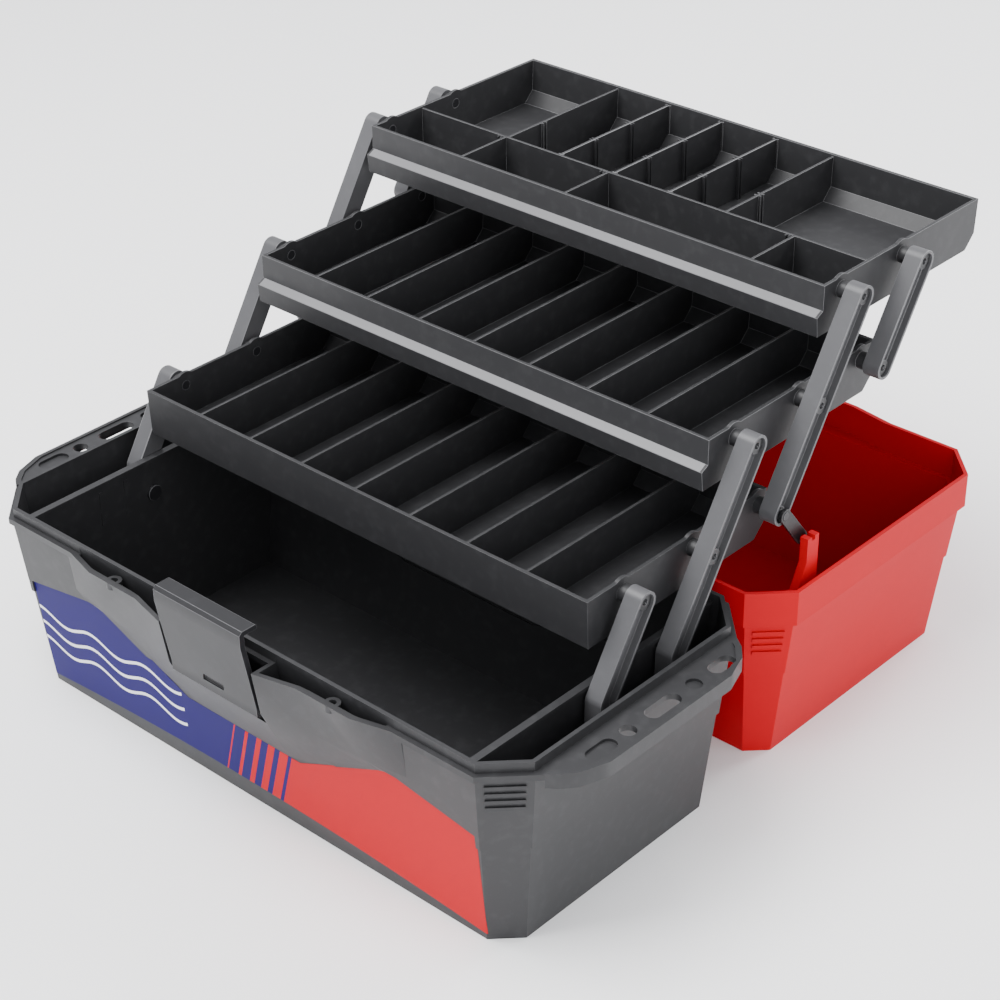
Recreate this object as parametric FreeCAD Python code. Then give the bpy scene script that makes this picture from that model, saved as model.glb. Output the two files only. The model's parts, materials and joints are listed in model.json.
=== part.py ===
import FreeCAD, Part
import math
import os

# A cantilever tackle box, opened: a tub with a latch, three swing-out trays on
# eight arms, and a lid that lies open behind the tub.
# X runs along the length, Y from the latch towards the lid and Z up.
# The origin is the centre of the tub's underside.

MM = 1.0

# General fits
overrun = 6.0 * MM
running_gap = 0.3 * MM
pin_play = 0.08 * MM

# Tub of the base
rim_height = 115.0 * MM
foot_half_length = 185.5 * MM
foot_half_depth = 84.7 * MM
foot_chamfer = 14.2 * MM
rim_half_length = 196.5 * MM
rim_half_depth = 96.5 * MM
rim_chamfer = 20.2 * MM
lip_height = 5.5 * MM
shell_wall = 2.4 * MM
shell_floor = 2.6 * MM
step_height = 64.5 * MM
step_out = 1.2 * MM
relief_thickness = 1.0 * MM
relief_low = 50.0 * MM
relief_high = 63.0 * MM
relief_half_low = 50.0 * MM
relief_half_high = 95.0 * MM

# Flange round the rim and the two end wings
flange_thickness = 3.5 * MM
flange_reach = 2.8 * MM
wing_reach = 23.5 * MM
wing_half_width = 75.1 * MM
wing_skirt = 8.0 * MM
wing_bead = 0.9 * MM
wing_wall = 2.4 * MM
wing_edge_shares = (
    (0.226, 1.0),
    (0.477, 0.944),
    (0.736, 0.846),
    (0.889, 0.706),
    (0.979, 0.626),
    (1.0, 0.0),
)
wing_hole_inset = 11.0 * MM
wing_hole_half_width = 4.6 * MM
wing_recess_depth = 1.6 * MM
wing_slot_shares = (
    (-0.692, -0.426, False),
    (-0.093, 0.234, True),
    (0.582, 0.819, True),
)
wing_round_shares = (
    (-0.289, True),
    (0.4, False),
)

# Ribs on the corner facets of tub and lid
facet_rib_count = 4
facet_rib_pitch = 4.6 * MM
facet_rib_height = 2.0 * MM
facet_rib_out = 1.0 * MM
facet_rib_root = 1.5 * MM
facet_rib_margin = 3.0 * MM
facet_rib_drop = 4.0 * MM

# Label field on the front
label_half_length = 172.0 * MM
label_end_height = 72.5 * MM
label_peak_half = 113.0 * MM
label_peak_height = 83.0 * MM
label_dip_half = 44.0 * MM
label_dip_height = 50.0 * MM
label_end_foot = 4.0 * MM
label_mid_foot = 12.0 * MM
label_recess = 0.4 * MM
label_proud = 0.1 * MM

# Bumper with the latch bay
bumper_half_width = 128.0 * MM
bumper_reach = 15.0 * MM
bumper_mid_drop = 28.0 * MM
bumper_mid_reach = 13.4 * MM
bumper_root = 1.4 * MM
bumper_wall = 2.4 * MM
bumper_x_shares = (0.0, 0.286, 0.697, 1.0)
bumper_top_shares = (1.0, 0.6, 0.587, 0.1)
bumper_mid_shares = (1.0, 0.59, 0.37, 0.09)
pocket_x_shares = (0.026, 0.286, 0.697, 0.889)
pocket_lift = 8.0 * MM
pocket_wall_gap = 0.1 * MM
chin_height = 79.5 * MM
eye_offset = 84.0 * MM
eye_radius = 4.4 * MM
eye_hole_radius = 2.2 * MM
eye_thickness = 4.0 * MM

# Partitions that close off the end pockets
partition_inner = 167.2 * MM
partition_thickness = 2.4 * MM
partition_rise = 0.6 * MM
partition_flange_height = 2.0 * MM
partition_flange_inner = 0.6 * MM
partition_flange_outer = 1.4 * MM
partition_rib_depth = 0.5 * MM
partition_rib_width = 2.4 * MM
partition_rib_foot = 88.0 * MM
partition_rib_top = 110.0 * MM
partition_rib_shares = (-0.45, -0.26)

# Trays
tray_half_length = 165.8 * MM
tray_depth = 147.0 * MM
upper_tray_depth = 146.0 * MM
tray_height = 28.4 * MM
tray_wall = 2.0 * MM
tray_floor = 1.8 * MM
tray_draft = 1.2 * MM
tray_back_chamfer = 8.0 * MM
tray_front = -2.5 * MM
lower_tray_lift = 45.9 * MM
tray_pitch_back = 94.35 * MM
divider_thickness = 1.6 * MM
divider_drop = 1.2 * MM
divider_pitch = 41.0 * MM
divider_count = 7
pull_band_height = 14.6 * MM
pull_reach = 5.0 * MM
pull_shoulder = 2.4 * MM
pull_return = 1.2 * MM
upper_row_depth = 42.3 * MM
upper_pitch = 40.6 * MM
upper_first = -94.0 * MM
upper_back_count = 5
upper_front_shares = (-0.576, -0.0965, 0.697)
slot_rib_thickness = 1.0 * MM
slot_rib_depth = 1.4 * MM
slot_play = 0.15 * MM
slot_share = 0.3

# Pivots of the trays, measured back from each tray's front
pivot_drop = 7.0 * MM
pivot_spacing = 56.0 * MM
lower_first_pivot = 27.5 * MM
ear_radius = 8.5 * MM
boss_radius = 4.8 * MM

# Arms: the step from one pivot to the next, with the trays swung out
arm_back = 32.3 * MM
arm_rise = 51.5 * MM
arm_foot_back = 29.0 * MM
arm_foot_rise = 60.7 * MM
arm_bend_rise = 45.9 * MM
arm_inner = 171.5 * MM
arm_thickness = 10.5 * MM
arm_half_width = 6.5 * MM
arm_border = 1.5 * MM
arm_recess = 4.0 * MM

# Pivot pins
pin_radius = 3.0 * MM
pin_head_radius = 4.6 * MM
pin_head_height = 2.5 * MM
pin_hollow_radius = 1.7 * MM
pin_hollow_depth = 1.8 * MM
pin_back_radius = 4.9 * MM
pin_back_height = 2.0 * MM

# Lid, drawn in its opened place
hinge_depth = 107.2 * MM
lid_near = 111.6 * MM
lid_far = 315.8 * MM
lid_mouth_half_length = 199.3 * MM
lid_mouth_chamfer = 20.5 * MM
lid_band_height = 21.2 * MM
lid_band_out = 3.2 * MM
lid_band_ramp = 1.5 * MM
lid_foot_half_length = 185.0 * MM
lid_foot_half_depth = 89.3 * MM
lid_foot_chamfer = 11.7 * MM
lid_step_height = 57.5 * MM
lid_step_out = 1.0 * MM
bulge_half_width = 105.0 * MM
bulge_root_half_width = 132.0 * MM
bulge_reach = 4.1 * MM

# Lid brackets and the links to the lowest tray
bracket_inner = 186.5 * MM
bracket_thickness = 5.0 * MM
bracket_root_height = 62.0 * MM
bracket_shoulder_height = 107.0 * MM
bracket_shoulder_back = 30.0 * MM
bracket_top_rise = 3.8 * MM
bracket_post_width = 10.0 * MM
bracket_post_gap = 3.0 * MM
bracket_foot_drop = 10.7 * MM
link_inner = 182.4 * MM
link_thickness = 2.2 * MM
link_half_width = 4.0 * MM
link_lid_back = 46.6 * MM
link_lid_rise = 17.7 * MM
link_stud_radius = 2.5 * MM

# Hinge knuckles and pins
knuckle_radius = 4.2 * MM
knuckle_offset = 120.0 * MM
lid_knuckle_length = 18.0 * MM
base_knuckle_length = 12.0 * MM
hinge_pin_radius = 2.0 * MM
hinge_head_radius = 3.2 * MM
hinge_head_height = 1.0 * MM

# Latch
latch_half_width = 33.0 * MM
latch_bay_gap = 2.5 * MM
latch_pin_depth = 103.2 * MM
latch_pin_drop = 29.5 * MM
latch_pin_radius = 2.0 * MM
latch_barrel_radius = 3.3 * MM
latch_wall = 3.4 * MM
latch_rise = 25.2 * MM
latch_front = 115.0 * MM
latch_foot_front = 107.4 * MM
latch_hook_depth = 102.9 * MM
latch_hook_thickness = 3.0 * MM
latch_knee_drop = 9.2 * MM
latch_round = 2.0 * MM
latch_grip_low = 89.0 * MM
latch_grip_high = 93.5 * MM
latch_grip_half = 8.0 * MM
latch_grip_depth = 1.2 * MM

# Carry handle, folded into the lid's top
handle_half_length = 57.0 * MM
handle_leg_width = 7.0 * MM
handle_reach = 20.0 * MM
handle_grip_width = 8.0 * MM
handle_thickness = 5.0 * MM
handle_pin_radius = 1.9 * MM
handle_pin_length = 3.0 * MM
handle_lift = 1.2 * MM
handle_shift = 12.0 * MM
handle_bay_margin = 1.6 * MM
handle_bay_depth = 7.0 * MM
handle_corner = 2.5 * MM


def vec(x, y, z):
    return FreeCAD.Vector(x, y, z)


def polygon_face(points):
    return Part.Face(Part.makePolygon(points + [points[0]]))


def block(x0, x1, y0, y1, z0, z1):
    return Part.makeBox(x1 - x0, y1 - y0, z1 - z0, vec(x0, y0, z0))


def rod(radius, y, z, x0, x1):
    """A round bar along X."""
    return Part.makeCylinder(radius, x1 - x0, vec(x0, y, z), vec(1, 0, 0))


def side_prism(outline, x0, x1):
    """A prism along X with its outline in Y and Z."""
    face = polygon_face([vec(x0, y, z) for y, z in outline])
    return face.extrude(vec(x1 - x0, 0, 0))


def plan_prism(outline, z0, z1):
    """A prism along Z with its outline in X and Y."""
    face = polygon_face([vec(x, y, z0) for x, y in outline])
    return face.extrude(vec(0, 0, z1 - z0))


def mirrored(shape):
    """The same piece at the other end of the box."""
    return shape.mirror(vec(0, 0, 0), vec(1, 0, 0))


def grown(size, out):
    """An octagon's half length, half depth and corner cut, grown all round."""
    half_x, half_y, chamfer = size
    return half_x + out, half_y + out, chamfer + out * (2 - math.sqrt(2))


def between(low, high, share):
    return tuple(a + (b - a) * share for a, b in zip(low, high))


def octagon(size, z, centre_y=0.0):
    half_x, half_y, cut = size
    quarter = ((half_x - cut, -half_y), (half_x, cut - half_y))
    points = list(quarter)
    points += [(x, -y) for x, y in reversed(quarter)]
    points += [(-x, -y) for x, y in quarter]
    points += [(-x, y) for x, y in reversed(quarter)]
    corners = [vec(x, y + centre_y, z) for x, y in points]
    return Part.makePolygon(corners + [corners[0]])


def stack(levels, centre_y=0.0):
    """A solid through octagons, each given as its size and its height."""
    return Part.makeLoft([octagon(size, z, centre_y) for size, z in levels], True, True)


def skin(stations):
    """A closed solid through polygons of equal count, with flat triangles."""
    faces = [polygon_face(stations[0]), polygon_face(stations[-1])]
    for ring, following in zip(stations, stations[1:]):
        for i, corner in enumerate(ring):
            j = (i + 1) % len(ring)
            faces.append(polygon_face([corner, ring[j], following[j]]))
            faces.append(polygon_face([corner, following[j], following[i]]))
    solid = Part.makeSolid(Part.makeShell(faces))
    if solid.Volume < 0:
        solid.reverse()
    return solid


def capsule_chain(points, radius, x0, x1):
    """A bar with rounded ends and bends that lies in a plane of constant X."""
    pieces = [rod(radius, y, z, x0, x1) for y, z in points]
    for (ya, za), (yb, zb) in zip(points, points[1:]):
        length = math.hypot(yb - ya, zb - za)
        side_y = -(zb - za) / length * radius
        side_z = (yb - ya) / length * radius
        outline = [
            (ya + side_y, za + side_z),
            (yb + side_y, zb + side_z),
            (yb - side_y, zb - side_z),
            (ya - side_y, za - side_z),
        ]
        pieces.append(side_prism(outline, x0, x1))
    return pieces[0].multiFuse(pieces[1:]).removeSplitter()


def export(name, shape):
    solids = shape.Solids
    if len(solids) == 1:
        shape = solids[0]
    shape.exportStep("parts/" + name + ".step")
    print(name, len(solids), "solid", round(shape.Volume), "mm3", shape.isValid())


# Sizes that follow from the driving ones

foot_size = (foot_half_length, foot_half_depth, foot_chamfer)
rim_size = (rim_half_length, rim_half_depth, rim_chamfer)
hinge_height = rim_height
lid_mouth_height = hinge_height - running_gap
lower_rim_height = rim_height + lower_tray_lift
partition_height = rim_height + partition_rise
bumper_mid_height = rim_height - bumper_mid_drop
latch_pin_height = rim_height - latch_pin_drop
latch_top = rim_height + latch_rise
flange_bottom = rim_height - flange_thickness
lip_top = rim_height + lip_height
arm_outer = arm_inner + arm_thickness
arm_web_outer = arm_outer - arm_recess
partition_outer = partition_inner + partition_thickness
lower_pivot_height = lower_rim_height - pivot_drop
base_pivot_height = lower_pivot_height - arm_foot_rise
boss_end = arm_inner - running_gap
lid_centre = (lid_near + lid_far) / 2
lid_mouth_half_depth = (lid_far - lid_near) / 2
lid_mouth_size = (lid_mouth_half_length, lid_mouth_half_depth, lid_mouth_chamfer)
lid_foot_size = (lid_foot_half_length, lid_foot_half_depth, lid_foot_chamfer)
lid_band_foot = lid_mouth_height - lid_band_height
lid_wall_top = lid_band_foot - lid_band_ramp
lid_wall_size = grown(lid_mouth_size, -lid_band_out)
lid_pivot_y = hinge_depth + link_lid_back
lid_pivot_z = hinge_height + link_lid_rise
bracket_top_height = lid_pivot_z + bracket_top_rise
bracket_post_foot = lid_pivot_z - bracket_foot_drop
latch_knee_height = latch_top - latch_knee_drop
latch_bay_half_width = latch_half_width + latch_bay_gap


def tub_size(z):
    return between(foot_size, rim_size, min(z, rim_height) / rim_height)


def lid_size(z):
    return between(lid_foot_size, lid_wall_size, z / lid_wall_top)


def front_of(z):
    """The depth of the tub's front wall at a height."""
    return -tub_size(z)[1]


def label_top(x):
    x = abs(x)
    knots = (
        (0.0, label_dip_height),
        (label_dip_half, label_dip_height),
        (label_peak_half, label_peak_height),
        (label_half_length, label_end_height),
    )
    for (xa, za), (xb, zb) in zip(knots, knots[1:]):
        if x <= xb:
            return za + (zb - za) * (x - xa) / (xb - xa)
    return label_end_height


def tray_place(level):
    """Front and rim height of the lower, middle or upper tray."""
    return tray_front + level * tray_pitch_back, lower_rim_height + level * arm_rise


def tray_pivots(level):
    """The pivots of one tray, front first, as Y and Z."""
    front, rim = tray_place(level)
    first = lower_first_pivot - level * (tray_pitch_back - pivot_spacing - arm_back)
    count = 2 if level == 2 else 3
    return [(front + first + i * pivot_spacing, rim - pivot_drop) for i in range(count)]


def base_pivots():
    """The two pivots in the base, below the lower tray's first two."""
    return [(y - arm_foot_back, base_pivot_height) for y, z in tray_pivots(0)[:2]]


def tub_interior():
    levels = [(grown(tub_size(shell_floor), -shell_wall), shell_floor)]
    levels.append((grown(rim_size, -shell_wall), rim_height))
    levels.append((grown(rim_size, -shell_wall), lip_top + overrun))
    return stack(levels)


def upper_jacket():
    """The part of the wall above the step line, slightly proud of the tub."""
    low = grown(tub_size(step_height), step_out)
    high = grown(tub_size(flange_bottom), step_out)
    jacket = stack([(low, step_height), (high, flange_bottom)])
    field = [
        vec(-label_half_length, 0, step_height - overrun),
        vec(-label_half_length, 0, label_end_height),
        vec(-label_peak_half, 0, label_peak_height),
        vec(-label_dip_half, 0, label_dip_height),
        vec(label_dip_half, 0, label_dip_height),
        vec(label_peak_half, 0, label_peak_height),
        vec(label_half_length, 0, label_end_height),
        vec(label_half_length, 0, step_height - overrun),
    ]
    return jacket.cut(polygon_face(field).extrude(vec(0, -rim_half_depth - overrun, 0)))


def wing_outline(inset=0.0):
    """The flange and both wings in plan."""
    reach = flange_reach - inset
    quarter = [(rim_half_length - rim_chamfer + reach / 2, rim_half_depth + reach)]
    for x_share, y_share in wing_edge_shares:
        x = rim_half_length + x_share * wing_reach - inset
        quarter.append((x, y_share * wing_half_width - (inset if y_share else 0)))
    outline = list(quarter[:-1])
    outline += [(x, -y) for x, y in reversed(quarter[:-1])]
    outline += [(-x, -y) for x, y in quarter[:-1]]
    outline += [(-x, y) for x, y in reversed(quarter[:-1])]
    return outline


def wing_openings():
    """Slots and round holes in one wing, through ones and shallow ones."""
    x = rim_half_length + wing_reach - wing_hole_inset
    tools = []
    for low, high, through in wing_slot_shares:
        tools.append((low * wing_half_width, high * wing_half_width, through))
    for middle, through in wing_round_shares:
        y = middle * wing_half_width
        tools.append((y - wing_hole_half_width, y + wing_hole_half_width, through))
    shapes = []
    for y0, y1, through in tools:
        bottom = flange_bottom - overrun if through else rim_height - wing_recess_depth
        height = rim_height + overrun - bottom
        ya, yb = y0 + wing_hole_half_width, y1 - wing_hole_half_width
        shapes.append(Part.makeCylinder(wing_hole_half_width, height, vec(x, ya, bottom)))
        if yb > ya:
            shapes.append(Part.makeCylinder(wing_hole_half_width, height, vec(x, yb, bottom)))
            xa, xb = x - wing_hole_half_width, x + wing_hole_half_width
            shapes.append(block(xa, xb, ya, yb, bottom, bottom + height))
    return shapes


def flange_and_wings():
    plate = plan_prism(wing_outline(), flange_bottom, rim_height)
    rim = plan_prism(wing_outline(), rim_height - wing_skirt, rim_height + wing_bead)
    hollow = plan_prism(wing_outline(wing_wall), -overrun, lip_top + overrun)
    start = rim_half_length + wing_edge_shares[0][0] * wing_reach
    middle = block(-start, start, -2 * rim_half_depth, 2 * rim_half_depth, 0, lip_top)
    piece = plate.fuse(rim.cut([hollow, middle]))
    tools = wing_openings()
    return piece.cut(tools + [mirrored(tool) for tool in tools])


def facet_ribs(size_at, top, centre_y=0.0):
    """Short level ribs across the four corner facets of a tub."""
    pieces = []
    for i in range(facet_rib_count):
        z = top - facet_rib_drop - i * facet_rib_pitch
        half_x, half_y, cut = size_at(z)
        side = math.sqrt(0.5)
        ends = (
            (half_x - cut + facet_rib_margin, half_y - facet_rib_margin),
            (half_x - facet_rib_margin, half_y - cut + facet_rib_margin),
        )
        outline = [(x - facet_rib_root * side, y - facet_rib_root * side) for x, y in ends]
        outline += [(x + facet_rib_out * side, y + facet_rib_out * side) for x, y in reversed(ends)]
        for sign_x in (1, -1):
            for sign_y in (1, -1):
                points = [(sign_x * x, sign_y * y + centre_y) for x, y in outline]
                pieces.append(plan_prism(points, z - facet_rib_height, z))
    return pieces


def bumper_ring(x, top_out, mid_out, foot_z, inset):
    """One cross-section of the bumper, or of its pocket when inset."""
    foot = foot_z + (pocket_lift if inset else 0)
    top = rim_height + (overrun if inset else 0)
    top_y = -(rim_half_depth + top_out) + inset
    mid_y = front_of(bumper_mid_height) - mid_out + inset
    root = pocket_wall_gap if inset else -bumper_root
    return [
        vec(x, top_y, top),
        vec(x, mid_y, bumper_mid_height),
        vec(x, front_of(foot) - (pocket_wall_gap if inset else 0), foot),
        vec(x, front_of(foot) - root, foot + (pocket_lift / 2 if inset else 0)),
        vec(x, -rim_half_depth - root, top),
    ]


def bumper_half(inset=0.0):
    """The right half of the bumper as a solid, or its pocket when inset."""
    shares = pocket_x_shares if inset else bumper_x_shares
    rings = []
    for i, share in enumerate(shares):
        x = latch_bay_half_width + share * (bumper_half_width - latch_bay_half_width)
        top_out = bumper_top_shares[i] * bumper_reach
        mid_out = bumper_mid_shares[i] * bumper_mid_reach
        if inset and i == len(shares) - 1:
            blend = (share - shares[i - 1]) / (bumper_x_shares[i] - shares[i - 1])
            before_top = bumper_top_shares[i - 1] * bumper_reach
            before_mid = bumper_mid_shares[i - 1] * bumper_mid_reach
            top_out = before_top + (top_out - before_top) * blend
            mid_out = before_mid + (mid_out - before_mid) * blend
        rings.append(bumper_ring(x, top_out, mid_out, label_top(x), inset))
    return skin(rings)


def chin():
    """The ledge under the latch, between the two bumper halves."""
    half = latch_bay_half_width
    fall = (bumper_mid_height - chin_height) / (bumper_mid_height - label_dip_height)
    mid_y = front_of(bumper_mid_height) - bumper_mid_reach
    foot_y = front_of(label_dip_height)
    outline = [
        (mid_y + (foot_y - mid_y) * fall, chin_height),
        (foot_y, label_dip_height),
        (foot_y + bumper_root, label_dip_height),
        (front_of(chin_height) + bumper_root, chin_height),
    ]
    return side_prism(outline, -half, half)


def eye():
    """The small eye at the top of the bumper's pocket."""
    y = -(rim_half_depth + bumper_top_shares[1] * bumper_reach) + eye_radius
    foot = vec(eye_offset, y, rim_height - eye_thickness)
    ring = Part.makeCylinder(eye_radius, eye_thickness, foot)
    return ring.cut(Part.makeCylinder(eye_hole_radius, eye_thickness, foot))


def label_field():
    """The outline of the label as a block that runs through the front wall."""
    y = -rim_half_depth - overrun
    corners = [
        vec(label_half_length, y, label_end_foot),
        vec(label_half_length, y, label_end_height),
        vec(label_peak_half, y, label_peak_height),
        vec(label_dip_half, y, label_dip_height),
        vec(-label_dip_half, y, label_dip_height),
        vec(-label_peak_half, y, label_peak_height),
        vec(-label_half_length, y, label_end_height),
        vec(-label_half_length, y, label_end_foot),
    ]
    edges = [Part.LineSegment(a, b).toShape() for a, b in zip(corners, corners[1:])]
    foot = Part.Arc(corners[-1], vec(0, y, label_mid_foot), corners[0]).toShape()
    face = Part.Face(Part.Wire(edges + [foot]))
    return face.extrude(vec(0, -y, 0))


def label_seat():
    """The tub as deep as the label's seat."""
    return stack([(grown(foot_size, -label_recess), 0), (grown(rim_size, -label_recess), rim_height)])


def partition():
    """The wall that closes off the pocket for the arms, with its T-shaped top."""
    half = rim_half_depth
    web = block(partition_inner, partition_outer, -half, half, 0, partition_height)
    flange = block(
        partition_inner - partition_flange_inner,
        partition_outer + partition_flange_outer,
        -half,
        half,
        partition_height - partition_flange_height,
        partition_height,
    )
    pieces = [flange]
    for share in partition_rib_shares:
        y = share * rim_half_depth
        x0 = partition_inner - partition_rib_depth
        y1 = y + partition_rib_width
        pieces.append(block(x0, partition_inner, y, y1, partition_rib_foot, partition_rib_top))
    for y, z in base_pivots():
        pieces.append(rod(boss_radius, y, z, partition_outer, boss_end))
    return web.multiFuse(pieces).common(tub_interior())


def back_relief():
    """The wavy thicker foot on the inside of the back wall."""
    y = rim_half_depth
    corners = [
        (-partition_inner, 0.0),
        (-partition_inner, relief_high),
        (-relief_half_high, relief_high),
        (-relief_half_low, relief_low),
        (relief_half_low, relief_low),
        (relief_half_high, relief_high),
        (partition_inner, relief_high),
        (partition_inner, 0.0),
    ]
    field = polygon_face([vec(x, 0, z) for x, z in corners]).extrude(vec(0, y, 0))
    inset = grown(tub_size(0), -shell_wall - relief_thickness)
    inner = stack([(inset, 0), (grown(rim_size, -shell_wall - relief_thickness), rim_height)])
    return tub_interior().common(field).cut(inner)


def base_knuckles():
    """The two knuckles on the base of the right hinge."""
    start = lid_knuckle_length / 2 + running_gap
    pieces = []
    for side in (1, -1):
        xa = knuckle_offset + side * start
        xb = xa + side * base_knuckle_length
        x0, x1 = min(xa, xb), max(xa, xb)
        barrel = rod(knuckle_radius, hinge_depth, hinge_height, x0, x1)
        leaf = block(x0, x1, rim_half_depth, hinge_depth, hinge_height - knuckle_radius, rim_height)
        pieces.append(barrel.fuse(leaf))
    return pieces


def hinge_bore(x0, x1):
    return rod(hinge_pin_radius + pin_play, hinge_depth, hinge_height, x0, x1)


def base_shell():
    body = stack([(foot_size, 0), (rim_size, rim_height), (rim_size, lip_top)])
    bumper = bumper_half()
    pieces = [upper_jacket(), flange_and_wings(), bumper, mirrored(bumper), chin()]
    pieces += facet_ribs(lambda z: grown(tub_size(z), step_out), flange_bottom)
    body = body.multiFuse(pieces)
    pocket = bumper_half(bumper_wall)
    body = body.cut([tub_interior(), pocket, mirrored(pocket)])
    ring = eye()
    knuckles = base_knuckles()
    wall = partition()
    inner = [ring, mirrored(ring), wall, mirrored(wall), back_relief()]
    inner += knuckles + [mirrored(piece) for piece in knuckles]
    body = body.multiFuse(inner)
    seat = label_field().cut(label_seat())
    pin_half = latch_bay_half_width + bumper_wall
    tools = [seat, rod(latch_pin_radius, -latch_pin_depth, latch_pin_height, -pin_half, pin_half)]
    for y, z in base_pivots():
        hole = rod(pin_radius, y, z, partition_inner - overrun, boss_end + overrun)
        tools += [hole, mirrored(hole)]
    span = lid_knuckle_length + base_knuckle_length
    bore = hinge_bore(knuckle_offset - span, knuckle_offset + span)
    tools += [bore, mirrored(bore)]
    return body.cut(tools).removeSplitter()


def front_label():
    low = grown(foot_size, label_proud)
    high = grown(rim_size, label_proud)
    return label_field().common(stack([(low, 0), (high, rim_height)])).cut(label_seat())


def latch_outline():
    """The latch in side view, from the barrel up the front to the hook and back."""
    knee = -latch_front
    inner = knee + latch_wall
    foot = -latch_foot_front
    grip_level = latch_pin_height + latch_barrel_radius
    return [
        (-latch_pin_depth, latch_pin_height - latch_barrel_radius / 2),
        (foot, latch_pin_height - latch_barrel_radius / 2),
        (foot, grip_level),
        (knee, latch_knee_height),
        (knee, latch_top - latch_round),
        (knee + latch_round, latch_top),
        (-latch_hook_depth - latch_round / 2, latch_top),
        (-latch_hook_depth, latch_top - latch_round / 2),
        (-latch_hook_depth, latch_top - latch_hook_thickness),
        (inner, latch_top - latch_hook_thickness),
        (inner, latch_knee_height),
        (foot + latch_wall, grip_level),
        (-latch_pin_depth, grip_level),
    ]


def front_latch():
    body = side_prism(latch_outline(), -latch_half_width, latch_half_width)
    barrel = (latch_barrel_radius, -latch_pin_depth, latch_pin_height)
    body = body.fuse(rod(*barrel, -latch_half_width, latch_half_width))
    grip_y = -latch_front
    grip = polygon_face([
        vec(-latch_grip_half, grip_y, latch_grip_low),
        vec(latch_grip_half, grip_y, latch_grip_low),
        vec(latch_grip_half + latch_grip_depth, grip_y, latch_grip_high),
        vec(latch_grip_depth - latch_grip_half, grip_y, latch_grip_high),
    ]).extrude(vec(0, latch_front - latch_foot_front + latch_grip_depth, 0))
    bore = rod(
        latch_pin_radius + pin_play,
        -latch_pin_depth,
        latch_pin_height,
        -latch_half_width - overrun,
        latch_half_width + overrun,
    )
    return body.cut([grip, bore]).removeSplitter()


def latch_pin():
    half = latch_bay_half_width + bumper_wall
    return rod(latch_pin_radius, -latch_pin_depth, latch_pin_height, -half, half)


def tray_profile(level, depth, inset):
    """A tray in side view, or the space inside it when inset by the wall."""
    front, rim = tray_place(level)
    back = front + depth
    bottom = rim - tray_height
    lift = tray_floor if inset else 0
    top = rim + (overrun if inset else 0)
    cut = tray_back_chamfer
    points = [(front + inset, top)]
    if level:
        shoulder = rim - pull_band_height - inset / 2
        points.append((front + inset, shoulder))
        points.append((front - pull_reach + inset, shoulder - pull_shoulder))
        points.append((front - pull_reach + pull_return + inset, bottom + lift))
    else:
        points.append((front + tray_draft + inset, bottom + lift))
    points.append((back - tray_draft - cut - inset / 2, bottom + lift))
    points.append((back - tray_draft - inset, bottom + cut + lift / 2))
    points.append((back - inset, top))
    return points


def slot_ribs(x, wall_y, side, low, high):
    """The pair of ribs that holds one end of a removable divider."""
    half = divider_thickness / 2 + slot_play
    y0, y1 = sorted((wall_y, wall_y + side * slot_rib_depth))
    pieces = []
    for sign in (1, -1):
        xa, xb = sorted((x + sign * half, x + sign * (half + slot_rib_thickness)))
        pieces.append(block(xa, xb, y0, y1, low, high))
    return pieces


def upper_back_places():
    return [upper_first + i * upper_pitch for i in range(upper_back_count)]


def tray_walls(level, depth):
    """The dividers that are one piece with a tray."""
    front, rim = tray_place(level)
    back = front + depth
    low = rim - tray_height
    high = rim - divider_drop
    half = divider_thickness / 2
    if level < 2:
        pieces = []
        for i in range(divider_count):
            x = (i - (divider_count - 1) / 2) * divider_pitch
            pieces.append(block(x - half, x + half, front - pull_reach, back, low, high))
        return pieces
    row = front + upper_row_depth
    length = tray_half_length
    pieces = [block(-length, length, row - half, row + half, low, high)]
    for share in upper_front_shares:
        x = share * tray_half_length
        pieces.append(block(x - half, x + half, front - pull_reach, row, low, high))
    places = upper_back_places()
    for x in (places[0], places[-1]):
        pieces.append(block(x - half, x + half, row, back, low, high))
    for x in places[1:-1]:
        pieces += slot_ribs(x, row + half, 1, low, high)
        pieces += slot_ribs(x, back - tray_wall, -1, low, high)
    return pieces


def cross_slot_ribs(level, depth):
    """Rib pairs on the fixed walls of the upper tray, for cross dividers."""
    front, rim = tray_place(level)
    low = rim - tray_height
    high = rim - divider_drop
    row = front + upper_row_depth
    y = row + slot_share * (front + depth - row)
    half = divider_thickness / 2
    gap = half + slot_play
    pieces = []
    places = upper_back_places()
    for x, side in ((places[0], 1), (places[-1], -1), (places[-1], 1)):
        x0, x1 = sorted((x + side * half, x + side * (half + slot_rib_depth)))
        for sign in (1, -1):
            ya, yb = sorted((y + sign * gap, y + sign * (gap + slot_rib_thickness)))
            pieces.append(block(x0, x1, ya, yb, low, high))
    return pieces


def tray(level):
    depth = upper_tray_depth if level == 2 else tray_depth
    front, rim = tray_place(level)
    length = tray_half_length
    outer = side_prism(tray_profile(level, depth, 0.0), -length, length)
    inside = side_prism(tray_profile(level, depth, tray_wall), tray_wall - length, length - tray_wall)
    walls = tray_walls(level, depth)
    if level == 2:
        walls += cross_slot_ribs(level, depth)
    shell = outer.cut(inside).multiFuse([wall.common(outer) for wall in walls])
    window = block(-arm_outer, arm_outer, front, front + depth, rim - tray_height, rim + ear_radius)
    pieces = []
    holes = []
    for y, z in tray_pivots(level):
        ear = rod(ear_radius, y, z, length - tray_wall, length).common(window)
        boss = rod(boss_radius, y, z, length, boss_end)
        hole = rod(pin_radius, y, z, length - tray_wall, boss_end)
        pieces += [ear, mirrored(ear), boss, mirrored(boss)]
        holes += [hole, mirrored(hole)]
    return shell.multiFuse(pieces).cut(holes).removeSplitter()


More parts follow.
